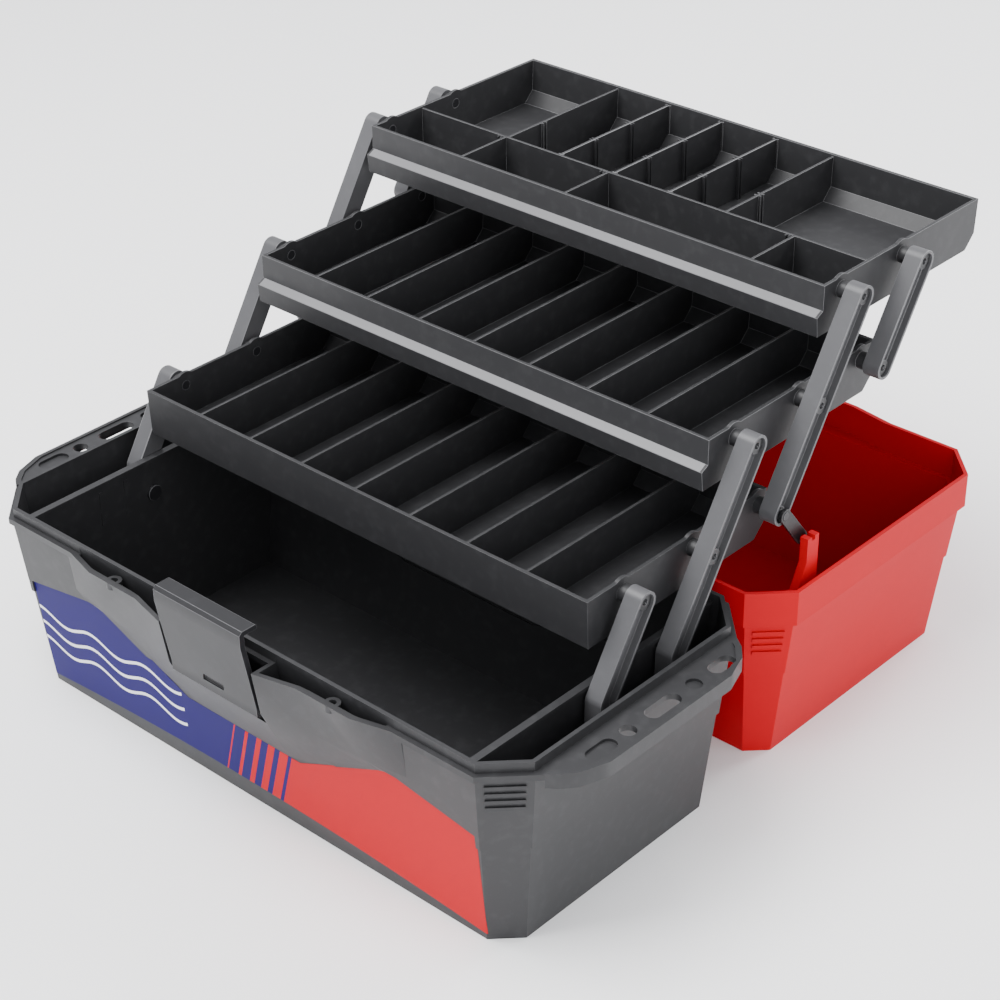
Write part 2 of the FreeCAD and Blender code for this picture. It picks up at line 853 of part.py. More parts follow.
def upper_divider(x):
    """One removable divider in the back row of the upper tray."""
    front, rim = tray_place(2)
    half = divider_thickness / 2
    profile = tray_profile(2, upper_tray_depth, tray_wall)
    space = side_prism(profile, x - half, x + half)
    start = front + upper_row_depth + half
    back = front + upper_tray_depth
    window = block(x - half, x + half, start, back, rim - tray_height, rim - divider_drop)
    return space.common(window)


def pivot_pin(y, z, start, stud_end=None):
    """A hollow-headed pivot pin on the right, set into what carries it."""
    pin = rod(pin_radius, y, z, start, arm_web_outer)
    head = rod(pin_head_radius, y, z, arm_web_outer, arm_web_outer + pin_head_height)
    pin = pin.fuse(head)
    if stud_end:
        return pin.fuse(rod(link_stud_radius, y, z, arm_web_outer, stud_end))
    top = arm_web_outer + pin_head_height
    return pin.cut(rod(pin_hollow_radius, y, z, top - pin_hollow_depth, top))


def base_arm_pin(y, z):
    back = rod(pin_back_radius, y, z, partition_inner - pin_back_height, partition_inner)
    return pivot_pin(y, z, partition_inner).fuse(back)


def arm(points, pivots):
    """A right-hand arm with its recessed outer face and its pivot holes."""
    body = capsule_chain(points, arm_half_width, arm_inner, arm_outer)
    recess = capsule_chain(points, arm_half_width - arm_border, arm_web_outer, arm_outer + overrun)
    holes = [rod(pin_radius + pin_play, y, z, arm_inner, arm_outer) for y, z in pivots]
    return body.cut([recess] + holes)


def arm_routes():
    """Route and pivots of each arm, named from the latch to the lid."""
    base = base_pivots()
    lower, middle, upper = (tray_pivots(level) for level in range(3))
    bends = []
    for y, z in lower[:2]:
        bends.append((y - arm_bend_rise * arm_back / arm_rise, z - arm_bend_rise))
    return {
        "arm_a": ([base[0], bends[0], lower[0]], [base[0], lower[0]]),
        "arm_b": ([base[1], bends[1], lower[1], middle[0]], [base[1], lower[1], middle[0]]),
        "arm_c": ([lower[2], middle[1], upper[0]], [lower[2], middle[1], upper[0]]),
        "arm_d": ([middle[2], upper[1]], [middle[2], upper[1]]),
    }


def lid_link():
    """The right-hand link from the lower tray's last pivot to the lid bracket."""
    tray_end = tray_pivots(0)[2]
    lid_end = (lid_pivot_y, lid_pivot_z)
    body = capsule_chain([tray_end, lid_end], link_half_width, link_inner, link_inner + link_thickness)
    holes = [rod(link_stud_radius + pin_play, y, z, link_inner, link_inner + link_thickness)
             for y, z in (tray_end, lid_end)]
    return body.cut(holes)


def lid_bracket():
    """The right-hand bracket inside the lid that the link meets."""
    near = lid_near + shell_wall / 2
    post = lid_pivot_y - bracket_post_width / 2
    end = lid_pivot_y + bracket_post_width / 2
    outline = [
        (near, bracket_root_height),
        (near, bracket_shoulder_height),
        (lid_near + bracket_shoulder_back, bracket_shoulder_height),
        (post, bracket_post_foot),
        (post, bracket_top_height),
        (end, bracket_top_height),
        (end, bracket_root_height),
    ]
    plate = side_prism(outline, bracket_inner, bracket_inner + bracket_thickness)
    slot = block(
        bracket_inner,
        bracket_inner + bracket_thickness,
        lid_pivot_y - bracket_post_gap / 2,
        lid_pivot_y + bracket_post_gap / 2,
        lid_pivot_z + bracket_post_gap / 2,
        bracket_top_height,
    )
    inset = -shell_wall / 2
    levels = [(grown(lid_size(bracket_root_height), inset), bracket_root_height)]
    levels.append((grown(lid_wall_size, inset), lid_wall_top))
    levels.append((grown(lid_wall_size, inset), bracket_top_height))
    return plate.cut(slot).common(stack(levels, lid_centre))


def lid_knuckle():
    x0 = knuckle_offset - lid_knuckle_length / 2
    x1 = knuckle_offset + lid_knuckle_length / 2
    barrel = rod(knuckle_radius, hinge_depth, hinge_height, x0, x1)
    leaf = block(
        x0,
        x1,
        hinge_depth,
        lid_near + shell_wall / 2,
        hinge_height - knuckle_radius,
        lid_mouth_height,
    )
    return barrel.fuse(leaf)


def bulge_outline(inset):
    front = lid_far + bulge_reach - inset
    root = lid_far - inset
    wide = bulge_root_half_width - inset
    flat = bulge_half_width - inset / 2
    back = lid_far - shell_wall - (overrun if inset else 0)
    return [(-wide, back), (-wide, root), (-flat, front), (flat, front), (wide, root), (wide, back)]


def lid_shell():
    low_step = lid_size(lid_step_height)
    levels = [(grown(lid_foot_size, -lid_step_out), 0)]
    levels.append((grown(low_step, -lid_step_out), lid_step_height))
    body = stack(levels, lid_centre)
    upper = stack([(low_step, lid_step_height), (lid_wall_size, lid_wall_top)], lid_centre)
    ramp = stack([(lid_wall_size, lid_wall_top), (lid_mouth_size, lid_band_foot)], lid_centre)
    band = stack([(lid_mouth_size, lid_band_foot), (lid_mouth_size, lid_mouth_height)], lid_centre)
    bulge = plan_prism(bulge_outline(0.0), lid_band_foot, lid_mouth_height)
    ribs = facet_ribs(lid_size, lid_wall_top, lid_centre)
    bay_x = handle_half_length + handle_bay_margin
    bay_low = lid_centre - handle_reach / 2 - handle_corner - handle_bay_margin
    bay_high = lid_centre + handle_reach / 2 + handle_grip_width / 2 + handle_bay_margin
    body = body.multiFuse([upper, ramp, band, bulge] + ribs)
    ledge = lid_band_foot + shell_wall
    wall = grown(lid_foot_size, -lid_step_out - shell_wall)
    hollow = stack([(wall, shell_floor), (grown(lid_wall_size, -shell_wall), ledge)], lid_centre)
    mouth = grown(lid_mouth_size, -shell_wall)
    opening = stack([(mouth, ledge), (mouth, lid_mouth_height + overrun)], lid_centre)
    bulge_space = plan_prism(bulge_outline(shell_wall), ledge, lid_mouth_height + overrun)
    body = body.cut([hollow, opening, bulge_space])
    wall_out = shell_wall
    bay_block = block(
        -bay_x - wall_out,
        bay_x + wall_out,
        bay_low - wall_out,
        bay_high + wall_out,
        0,
        handle_bay_depth + shell_floor,
    )
    bay = block(-bay_x, bay_x, bay_low, bay_high, -overrun, handle_bay_depth)
    bracket = lid_bracket()
    knuckle = lid_knuckle()
    body = body.multiFuse([bay_block, bracket, mirrored(bracket), knuckle, mirrored(knuckle)])
    pin_end = handle_half_length + handle_pin_length
    socket = rod(handle_pin_radius + pin_play, handle_axis()[0], handle_axis()[1], -pin_end, pin_end)
    bore = hinge_bore(knuckle_offset - lid_knuckle_length, knuckle_offset + lid_knuckle_length)
    return body.cut([bay, socket, bore, mirrored(bore)]).removeSplitter()


def handle_axis():
    return lid_centre - handle_reach / 2, handle_lift + handle_thickness / 2


def carry_handle():
    """The folded bail with its two stub pins."""
    y, z = handle_axis()
    low = handle_lift
    high = handle_lift + handle_thickness
    grip_y = y + handle_reach
    half = handle_half_length
    half_grip = handle_grip_width / 2
    grip = block(-half, half, grip_y - half_grip, grip_y + half_grip, low, high)
    pieces = []
    for side in (1, -1):
        x0, x1 = sorted((side * half, side * (half - handle_leg_width)))
        pieces.append(block(x0, x1, y, grip_y, low, high))
        pieces.append(rod(handle_thickness / 2, y, z, x0, x1))
        xa, xb = sorted((side * half, side * (half + handle_pin_length)))
        pieces.append(rod(handle_pin_radius, y, z, xa, xb))
    return grip.multiFuse(pieces).removeSplitter()


def hinge_pin():
    half = lid_knuckle_length / 2 + running_gap + base_knuckle_length
    x0, x1 = knuckle_offset - half, knuckle_offset + half
    pin = rod(hinge_pin_radius, hinge_depth, hinge_height, x0, x1)
    gap = running_gap / 3
    heads = [
        rod(hinge_head_radius, hinge_depth, hinge_height, x1 + gap, x1 + gap + hinge_head_height),
        rod(hinge_head_radius, hinge_depth, hinge_height, x0 - gap - hinge_head_height, x0 - gap),
        rod(hinge_pin_radius, hinge_depth, hinge_height, x0 - gap, x1 + gap),
    ]
    return pin.multiFuse(heads).removeSplitter()


def export_pair(name, shape):
    export(name + "_right", shape)
    export(name + "_left", mirrored(shape))


def main():
    os.makedirs("parts", exist_ok=True)
    export("base_shell", base_shell())
    export("front_label", front_label())
    export("front_latch", front_latch())
    export("latch_pin", latch_pin())
    export("lid_shell", lid_shell())
    export("carry_handle", carry_handle())
    export_pair("hinge_pin", hinge_pin())
    export_pair("lid_link", lid_link())
    for name, (route, pivots) in arm_routes().items():
        export_pair(name, arm(route, pivots))
    for index, (y, z) in enumerate(base_pivots(), 1):
        export_pair("base_pin_%d" % index, base_arm_pin(y, z))
    stud_end = link_inner + link_thickness + running_gap
    for level, level_name in enumerate(("lower", "middle", "upper")):
        export(level_name + "_tray", tray(level))
        for index, (y, z) in enumerate(tray_pivots(level), 1):
            stud = stud_end if (level, index) == (0, 3) else None
            pin = pivot_pin(y, z, tray_half_length - tray_wall, stud)
            export_pair("%s_pin_%d" % (level_name, index), pin)
    for index, x in enumerate(upper_back_places()[1:-1], 1):
        export("upper_divider_%d" % index, upper_divider(x))


main()
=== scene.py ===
"""Looks of the opened cantilever tackle box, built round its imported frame.

Every length is in metres and every piece stands where the frame holds it.
"""

from __future__ import annotations

import json
import logging
import math
from dataclasses import dataclass, field, replace
from enum import Enum
from typing import Any, Sequence

import bmesh
import bpy
from mathutils import Matrix, Vector

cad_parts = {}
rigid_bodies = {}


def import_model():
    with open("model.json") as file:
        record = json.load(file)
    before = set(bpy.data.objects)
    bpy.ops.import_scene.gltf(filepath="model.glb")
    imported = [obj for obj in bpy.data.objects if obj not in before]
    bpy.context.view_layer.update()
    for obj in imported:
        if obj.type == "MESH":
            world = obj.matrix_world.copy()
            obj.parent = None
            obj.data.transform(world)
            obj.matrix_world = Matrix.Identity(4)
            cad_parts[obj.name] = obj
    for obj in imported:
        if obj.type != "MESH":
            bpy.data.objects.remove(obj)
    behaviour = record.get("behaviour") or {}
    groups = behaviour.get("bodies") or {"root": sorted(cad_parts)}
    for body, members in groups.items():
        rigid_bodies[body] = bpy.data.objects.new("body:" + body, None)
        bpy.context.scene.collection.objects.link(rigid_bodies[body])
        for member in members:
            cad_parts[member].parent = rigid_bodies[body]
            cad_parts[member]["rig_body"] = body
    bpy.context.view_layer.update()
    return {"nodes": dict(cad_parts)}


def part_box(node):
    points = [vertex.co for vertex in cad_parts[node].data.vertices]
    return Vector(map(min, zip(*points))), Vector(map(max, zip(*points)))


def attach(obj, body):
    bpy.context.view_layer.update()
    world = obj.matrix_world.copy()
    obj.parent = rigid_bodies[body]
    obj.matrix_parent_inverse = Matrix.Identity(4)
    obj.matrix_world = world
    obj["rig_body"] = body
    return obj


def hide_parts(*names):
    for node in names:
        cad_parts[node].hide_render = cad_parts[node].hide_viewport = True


MM = 0.001
SAME_POINT = 0.002 * MM
FLAT_DEG = 0.4
CREASE_DEG = 32.0
BEVEL_STEPS = 2
LARGEST_FACE_WEIGHT = 100
QUAD = 4
LOG = logging.getLogger("tackle_box")
Colour = tuple[float, float, float]


class EdgeRound(Enum):
    """How softly a moulded piece's edges are rounded, in metres."""

    CRISP = 0.15 * MM
    FINE = 0.3 * MM
    SOFT = 0.5 * MM
    FULL = 0.9 * MM


class Tone(Enum):
    """Base colours of the box, as linear red, green and blue."""

    GREY = (0.021, 0.021, 0.0225)
    # painted light: the arms' lighter lit tone and the pins' and latch's edge highlights; also
    # their scuff specks (wear)
    GREY_LIT_AND_SCUFF = (0.075, 0.075, 0.079)
    # painted highlight on rounded edges and pull ledges; also the colour of small scuff specks
    # (wear)
    GREY_SCUFF_AND_HIGHLIGHT = (0.16, 0.16, 0.165)
    GREY_DEEP = (0.012, 0.012, 0.0135)
    BLACK = (0.006, 0.006, 0.007)
    RED = (0.46, 0.0006, 0.007)
    # painted highlight on the lid's rounded edges; also the colour of its small scuff specks (wear)
    RED_HIGHLIGHT_AND_SCUFF = (0.66, 0.008, 0.02)
    STEEL = (0.42, 0.42, 0.44)
    PRINT_BLUE = (0.010, 0.004, 0.10)
    PRINT_RED = (0.46, 0.0008, 0.008)
    PRINT_PALE = (0.82, 0.82, 0.86)


def add_node(tree: bpy.types.NodeTree, kind: str, **values: Any) -> bpy.types.Node:
    """Adds a node and sets its properties.

    Args:
        tree: the node tree to add to.
        kind: Blender's name of the node.
        values: properties of the node, by name.

    Returns:
        The new node.
    """
    node = tree.nodes.new(kind)
    for name, value in values.items():
        setattr(node, name, value)
    return node


def link(tree: bpy.types.NodeTree, source: Any, target: Any) -> None:
    """Links one socket to another."""
    tree.links.new(source, target)


@dataclass
class ShaderLibrary:
    """The shader groups that several finishes share, each built once."""

    groups: dict[str, bpy.types.NodeTree] = field(default_factory=dict)
    grain_detail: float = 3.0
    grain_breakup: float = 0.6
    patch_scale: float = 14.0
    patch_detail: float = 5.0
    patch_breakup: float = 0.55
    cloud_scale: float = 9.0
    cloud_detail: float = 4.0
    scuff_scale: float = 160.0
    scuff_detail: float = 4.0
    scuff_start: float = 0.5
    scuff_full: float = 0.75
    noise_middle: float = 0.5

    def new_group(
        self,
        name: str,
        inputs: Sequence[tuple[str, str, Any]],
        outputs: Sequence[tuple[str, str]],
    ) -> tuple[bpy.types.NodeTree, bpy.types.Node, bpy.types.Node]:
        """Starts a shader group with named sockets.

        Args:
            name: the group's name.
            inputs: each input's name, socket type and default value.
            outputs: each output's name and socket type.

        Returns:
            The tree, its input node and its output node.
        """
        tree = bpy.data.node_groups.new(name, "ShaderNodeTree")
        for label, kind, default in inputs:
            socket = tree.interface.new_socket(label, in_out="INPUT", socket_type=kind)
            socket.default_value = default
        for label, kind in outputs:
            tree.interface.new_socket(label, in_out="OUTPUT", socket_type=kind)
        self.groups[name] = tree
        return tree, add_node(tree, "NodeGroupInput"), add_node(tree, "NodeGroupOutput")

    def moulded_grain(self) -> bpy.types.NodeTree:
        """The fine spark-eroded grain of a plastic mould, as height and roughness.

        Returns:
            The shader group, built at the first call.
        """
        if "moulded_grain" in self.groups:
            return self.groups["moulded_grain"]
        tree, start, end = self.new_group(
            "moulded_grain",
            [
                ("Scale", "NodeSocketFloat", 900.0),
                ("Roughness", "NodeSocketFloat", 0.45),
                ("Spread", "NodeSocketFloat", 0.1),
            ],
            [("Height", "NodeSocketFloat"), ("Roughness", "NodeSocketFloat")],
        )
        where = add_node(tree, "ShaderNodeTexCoord")
        grain = add_node(tree, "ShaderNodeTexNoise")
        grain.inputs["Detail"].default_value = self.grain_detail
        grain.inputs["Roughness"].default_value = self.grain_breakup
        patches = add_node(tree, "ShaderNodeTexNoise")
        patches.inputs["Scale"].default_value = self.patch_scale
        patches.inputs["Detail"].default_value = self.patch_detail
        patches.inputs["Roughness"].default_value = self.patch_breakup
        centred = add_node(tree, "ShaderNodeMath", operation="SUBTRACT")
        centred.inputs[1].default_value = self.noise_middle
        spread = add_node(tree, "ShaderNodeMath", operation="MULTIPLY_ADD")
        link(tree, where.outputs["Object"], grain.inputs["Vector"])
        link(tree, where.outputs["Object"], patches.inputs["Vector"])
        link(tree, start.outputs["Scale"], grain.inputs["Scale"])
        link(tree, patches.outputs["Fac"], centred.inputs[0])
        link(tree, centred.outputs[0], spread.inputs[0])
        link(tree, start.outputs["Spread"], spread.inputs[1])
        link(tree, start.outputs["Roughness"], spread.inputs[2])
        link(tree, grain.outputs["Fac"], end.inputs["Height"])
        link(tree, spread.outputs[0], end.inputs["Roughness"])
        return tree

    def worn_tone(self) -> bpy.types.NodeTree:
        """A colour with slow cloudy variation and small rubbed specks.

        Returns:
            The shader group, built at the first call.
        """
        if "worn_tone" in self.groups:
            return self.groups["worn_tone"]
        tree, start, end = self.new_group(
            "worn_tone",
            [
                ("Color", "NodeSocketColor", (0.1, 0.1, 0.1, 1.0)),
                ("Rubbed", "NodeSocketColor", (0.3, 0.3, 0.3, 1.0)),
                ("Rubbed Amount", "NodeSocketFloat", 0.1),
                ("Cloud", "NodeSocketFloat", 0.08),
            ],
            [("Color", "NodeSocketColor")],
        )
        where = add_node(tree, "ShaderNodeTexCoord")
        cloud = add_node(tree, "ShaderNodeTexNoise")
        cloud.inputs["Scale"].default_value = self.cloud_scale
        cloud.inputs["Detail"].default_value = self.cloud_detail
        centred = add_node(tree, "ShaderNodeMath", operation="SUBTRACT")
        centred.inputs[1].default_value = self.noise_middle
        gain = add_node(tree, "ShaderNodeMath", operation="MULTIPLY_ADD")
        gain.inputs[2].default_value = 1.0
        shaded = add_node(tree, "ShaderNodeVectorMath", operation="SCALE")
        scuffs = add_node(tree, "ShaderNodeTexNoise")
        scuffs.inputs["Scale"].default_value = self.scuff_scale
        scuffs.inputs["Detail"].default_value = self.scuff_detail
        broken = add_node(tree, "ShaderNodeMapRange")
        broken.inputs["From Min"].default_value = self.scuff_start
        broken.inputs["From Max"].default_value = self.scuff_full
        amount = add_node(tree, "ShaderNodeMath", operation="MULTIPLY")
        blend = add_node(tree, "ShaderNodeMix", data_type="RGBA")
        link(tree, where.outputs["Object"], cloud.inputs["Vector"])
        link(tree, where.outputs["Object"], scuffs.inputs["Vector"])
        link(tree, cloud.outputs["Fac"], centred.inputs[0])
        link(tree, centred.outputs[0], gain.inputs[0])
        link(tree, start.outputs["Cloud"], gain.inputs[1])
        link(tree, start.outputs["Color"], shaded.inputs[0])
        link(tree, gain.outputs[0], shaded.inputs["Scale"])
        link(tree, scuffs.outputs["Fac"], broken.inputs["Value"])
        link(tree, broken.outputs["Result"], amount.inputs[0])
        link(tree, start.outputs["Rubbed Amount"], amount.inputs[1])
        link(tree, amount.outputs[0], blend.inputs["Factor"])
        link(tree, shaded.outputs["Vector"], blend.inputs["A"])
        link(tree, start.outputs["Rubbed"], blend.inputs["B"])
        link(tree, blend.outputs["Result"], end.inputs["Color"])
        return tree


@dataclass(frozen=True)
class Moulded:
    """A moulded plastic finish: its colour, gloss, grain and smoother rounded edges in a lighter
    tone, a painted highlight.
    """

    name: str
    tone: Tone
    # lighter tone of the rounded edges, a painted highlight; also the colour of small scuff specks
    # (wear)
    edge_highlight_and_scuff_tone: Tone
    roughness: float = 0.42
    roughness_spread: float = 0.12
    grain_per_metre: float = 1100.0
    grain_depth: float = 0.05 * MM
    grain_strength: float = 0.25
    rubbed_amount: float = 0.06
    edge_polish: float = 0.1
    cloud: float = 0.12
    specular: float = 0.32
    metallic: float = 0.0

    def edge_highlight_material(self, library: ShaderLibrary) -> bpy.types.Material:
        """Builds the finish of the piece's rounded edges: smoother, and lighter in tone as painted
        highlight.

        Args:
            library: the shader groups to build it from.

        Returns:
            The material, built at the first call.
        """
        polished_with_highlight = replace(
            self,
            name=self.name + "_edge",
            tone=self.edge_highlight_and_scuff_tone,
            roughness=self.roughness - self.edge_polish,
        )
        return polished_with_highlight.material(library)

    def material(self, library: ShaderLibrary) -> bpy.types.Material:
        """Builds the finish as a material.

        Args:
            library: the shader groups to build it from.

        Returns:
            The material, built at the first call.
        """
        if self.name in bpy.data.materials:
            return bpy.data.materials[self.name]
        made = bpy.data.materials.new(self.name)
        made.use_nodes = True
        tree = made.node_tree
        shader = tree.nodes["Principled BSDF"]
        shader.inputs["Specular IOR Level"].default_value = self.specular
        shader.inputs["Metallic"].default_value = self.metallic
        tone = add_node(tree, "ShaderNodeGroup", node_tree=library.worn_tone())
        tone.inputs["Color"].default_value = (*self.tone.value, 1.0)
        tone.inputs["Rubbed"].default_value = (*self.edge_highlight_and_scuff_tone.value, 1.0)
        tone.inputs["Rubbed Amount"].default_value = self.rubbed_amount
        tone.inputs["Cloud"].default_value = self.cloud
        grain = add_node(tree, "ShaderNodeGroup", node_tree=library.moulded_grain())
        grain.inputs["Scale"].default_value = self.grain_per_metre
        grain.inputs["Roughness"].default_value = self.roughness
        grain.inputs["Spread"].default_value = self.roughness_spread
        bump = add_node(tree, "ShaderNodeBump")
        bump.inputs["Strength"].default_value = self.grain_strength
        bump.inputs["Distance"].default_value = self.grain_depth
        link(tree, tone.outputs["Color"], shader.inputs["Base Color"])
        link(tree, grain.outputs["Roughness"], shader.inputs["Roughness"])
        link(tree, grain.outputs["Height"], bump.inputs["Height"])
        link(tree, bump.outputs["Normal"], shader.inputs["Normal"])
        return made


TUB_PLASTIC = Moulded("tub_grey_plastic", Tone.GREY, Tone.GREY_SCUFF_AND_HIGHLIGHT)
TRAY_PLASTIC = Moulded("tray_grey_plastic", Tone.GREY, Tone.GREY_SCUFF_AND_HIGHLIGHT, roughness=0.46)
# the pull ledges are the trays' plastic painted lighter: painted highlight where the sloped band
# catches the light
LEDGE_HIGHLIGHT_PLASTIC = Moulded(
    "pull_ledge_painted_highlight",
    Tone.GREY_SCUFF_AND_HIGHLIGHT,
    Tone.GREY_SCUFF_AND_HIGHLIGHT,
    roughness=0.36,
    grain_per_metre=420.0,
    cloud=0.5,
)
# the arms are the dark grey plastic painted lighter: painted highlight for the light grazing their
# faces
ARM_LIT_PLASTIC = Moulded(
    "arm_grey_plastic",
    Tone.GREY_LIT_AND_SCUFF,
    Tone.GREY_SCUFF_AND_HIGHLIGHT,
    roughness=0.38,
    cloud=0.3,
)
DIVIDER_PLASTIC = Moulded("divider_grey_plastic", Tone.GREY, Tone.GREY_SCUFF_AND_HIGHLIGHT)
PIN_PLASTIC = Moulded("pivot_pin_plastic", Tone.GREY_DEEP, Tone.GREY_LIT_AND_SCUFF, roughness=0.35)
LATCH_PLASTIC = Moulded("latch_grey_plastic", Tone.GREY_DEEP, Tone.GREY_LIT_AND_SCUFF, roughness=0.4)
LINK_PLASTIC = Moulded("link_black_plastic", Tone.BLACK, Tone.GREY, roughness=0.38)
LID_PLASTIC = Moulded(
    "lid_red_plastic",
    Tone.RED,
    Tone.RED_HIGHLIGHT_AND_SCUFF,
    roughness=0.4,
    roughness_spread=0.1,
    grain_strength=0.12,
    cloud=0.06,
    specular=0.08,
)
HINGE_STEEL = Moulded(
    "hinge_pin_steel",
    Tone.STEEL,
    Tone.STEEL,
    roughness=0.28,
    grain_strength=0.08,
    cloud=0.1,
    metallic=1.0,
)


@dataclass(frozen=True)
class LabelPrint:
    """The printed label: blue and red fields with pale ripples and slanted bars."""

    name: str = "front_label_print"
    roughness: float = 0.42
    roughness_spread: float = 0.08
    grain_per_metre: float = 500.0
    specular: float = 0.08
    split_x: float = 20.0 * MM
    slant: float = 0.35
    bar_pitch: float = 9.0 * MM
    bar_span: float = 52.0 * MM
    widest_bar_share: float = 0.75
    ripple_end_share: float = 1.35
    ripple_rows_half: float = 1.5
    ripple_length: float = 46.0 * MM
    ripple_height: float = 3.2 * MM
    ripple_pitch: float = 11.0 * MM
    ripple_half_width: float = 1.1 * MM
    ripple_centre: float = 40.0 * MM

    def material(self, library: ShaderLibrary) -> bpy.types.Material:
        """Builds the print as a material.

        Args:
            library: the shader groups that give its gloss and grain.

        Returns:
            The material.
        """
        made = bpy.data.materials.new(self.name)
        made.use_nodes = True
        tree = made.node_tree
        shader = tree.nodes["Principled BSDF"]
        shader.inputs["Specular IOR Level"].default_value = self.specular
        where = add_node(tree, "ShaderNodeTexCoord")
        split = add_node(tree, "ShaderNodeSeparateXYZ")
        link(tree, where.outputs["Object"], split.inputs[0])
        x, z = split.outputs["X"], split.outputs["Z"]

        def math_node(operation: str, first: Any, second: Any = 0.0, third: Any = 0.0) -> Any:
            """Adds a math node fed by sockets or numbers and returns its output."""
            node = add_node(tree, "ShaderNodeMath", operation=operation)
            for socket, value in zip(node.inputs, (first, second, third)):
                if isinstance(value, (int, float)):
                    socket.default_value = value
                else:
                    link(tree, value, socket)
            return node.outputs[0]

        def mixed(factor: Any, first: Any, second: Any) -> Any:
            """Adds a colour mix and returns its output."""
            node = add_node(tree, "ShaderNodeMix", data_type="RGBA")
            link(tree, factor, node.inputs["Factor"])
            for socket, value in ((node.inputs["A"], first), (node.inputs["B"], second)):
                if isinstance(value, Tone):
                    socket.default_value = (*value.value, 1.0)
                else:
                    link(tree, value, socket)
            return node.outputs["Result"]

        leaning = math_node("MULTIPLY_ADD", z, -self.slant, x)
        right = math_node("GREATER_THAN", leaning, self.split_x)
        low = math_node("GREATER_THAN", leaning, self.split_x - self.bar_span)
        step = math_node("DIVIDE", math_node("SUBTRACT", leaning, self.split_x), self.bar_pitch)
        share = math_node("FRACT", step)
        far_end = 1.0 - self.split_x / self.bar_span
        growth = math_node("MULTIPLY_ADD", leaning, 1.0 / self.bar_span, far_end)
        width = math_node("MULTIPLY", growth, self.widest_bar_share)
        bars = math_node("LESS_THAN", share, width)
        striped = math_node("MULTIPLY", low, bars)
        red_part = math_node("MAXIMUM", right, striped)
        colour = mixed(red_part, Tone.PRINT_BLUE, Tone.PRINT_RED)
        wave = math_node("SINE", math_node("MULTIPLY", x, 2 * math.pi / self.ripple_length))
        level = math_node("MULTIPLY_ADD", wave, -self.ripple_height, z)
        offset = math_node("SUBTRACT", level, self.ripple_centre)
        half_pitch = self.ripple_pitch / 2
        band = math_node("ABSOLUTE", math_node("WRAP", offset, half_pitch, -half_pitch))
        line = math_node("LESS_THAN", band, self.ripple_half_width)
        reach = self.ripple_pitch * self.ripple_rows_half
        near = math_node("LESS_THAN", math_node("ABSOLUTE", offset), reach)
        last_x = self.split_x - self.bar_span * self.ripple_end_share
        blue_end = math_node("LESS_THAN", x, last_x)
        ripples = math_node("MULTIPLY", math_node("MULTIPLY", line, near), blue_end)
        colour = mixed(ripples, colour, Tone.PRINT_PALE)
        link(tree, colour, shader.inputs["Base Color"])
        grain = add_node(tree, "ShaderNodeGroup", node_tree=library.moulded_grain())
        grain.inputs["Scale"].default_value = self.grain_per_metre
        grain.inputs["Roughness"].default_value = self.roughness
        grain.inputs["Spread"].default_value = self.roughness_spread
        link(tree, grain.outputs["Roughness"], shader.inputs["Roughness"])
        return made


def rounded_copy(
    node: str,
    name: str,
    edge: EdgeRound,
    face_finish: bpy.types.Material,
    edge_finish: bpy.types.Material,
    split_rings: bool = False,
) -> bpy.types.Object:
    """Copies a frame node's mesh, joins its triangles and rounds its edges.

    Args:
        node: the frame node to copy.
        name: the new piece's name.
        edge: how softly its edges are rounded.
        face_finish: the material of its faces.
        edge_finish: the material of its rounded edges, lighter in tone as painted highlight.
        split_rings: whether faces round an opening are cut into triangles.

    Returns:
        The new object, at the origin, with its place in its mesh.
    """
    mesh = bpy.data.objects[node].data.copy()
    shape = bmesh.new()
    shape.from_mesh(mesh)
    bmesh.ops.remove_doubles(shape, verts=shape.verts, dist=SAME_POINT)
    bmesh.ops.dissolve_limit(
        shape,
        angle_limit=math.radians(FLAT_DEG),
        verts=shape.verts,
        edges=shape.edges,
    )
    bmesh.ops.recalc_face_normals(shape, faces=shape.faces)
    if split_rings:
        wide = [face for face in shape.faces if len(face.verts) > QUAD]
        bmesh.ops.triangulate(shape, faces=wide, ngon_method="BEAUTY")
    shape.to_mesh(mesh)
    shape.free()
    mesh.materials.clear()
    mesh.materials.append(face_finish)
    mesh.materials.append(edge_finish)
    for polygon in mesh.polygons:
        polygon.use_smooth = True
        polygon.material_index = 0
    piece = bpy.data.objects.new(name, mesh)
    bpy.context.scene.collection.objects.link(piece)
    bevel = piece.modifiers.new("rounded edges", "BEVEL")
    bevel.width = edge.value
    bevel.segments = BEVEL_STEPS
    bevel.limit_method = "ANGLE"
    bevel.angle_limit = math.radians(CREASE_DEG)
    bevel.use_clamp_overlap = True
    # the bevel faces take the lighter edge material: painted highlight along every rounded edge
    bevel.material = 1
    bevel.miter_outer = "MITER_ARC"
    flat = piece.modifiers.new("flat faces", "WEIGHTED_NORMAL")
    flat.mode = "FACE_AREA"
    flat.weight = LARGEST_FACE_WEIGHT
    graph = bpy.context.evaluated_depsgraph_get()
    rounded = bpy.data.meshes.new_from_object(piece.evaluated_get(graph))
    piece.modifiers.clear()
    piece.data = rounded
    return piece


